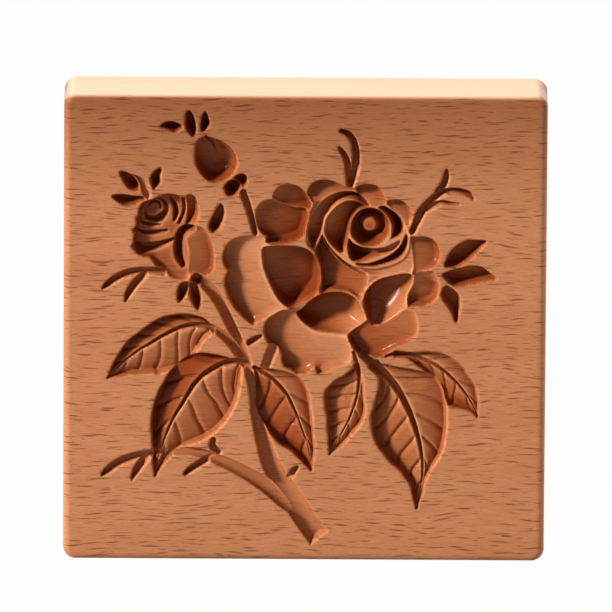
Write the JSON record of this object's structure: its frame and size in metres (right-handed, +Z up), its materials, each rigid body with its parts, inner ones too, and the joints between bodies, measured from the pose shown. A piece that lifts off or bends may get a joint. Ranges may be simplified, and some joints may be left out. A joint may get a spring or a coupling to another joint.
{
  "type": "wooden cookie press board",
  "caption": "Square block of beech with a rose spray carved into one face, pressed onto dough to mould it; plain back and sanded edges.",
  "frame": {"origin": "on the surface that the block stands on, under the middle of the block", "axes": "+Z up the upright block, +X across the carved face to the right as a viewer sees it, +Y from the carved face to the plain back"},
  "size_m": [0.1, 0.016, 0.1],
  "materials": {
    "steamed_beech": "satin"
  },
  "bodies": {
    "root": {"carved_block": "steamed_beech"}
  },
  "joints": []
}
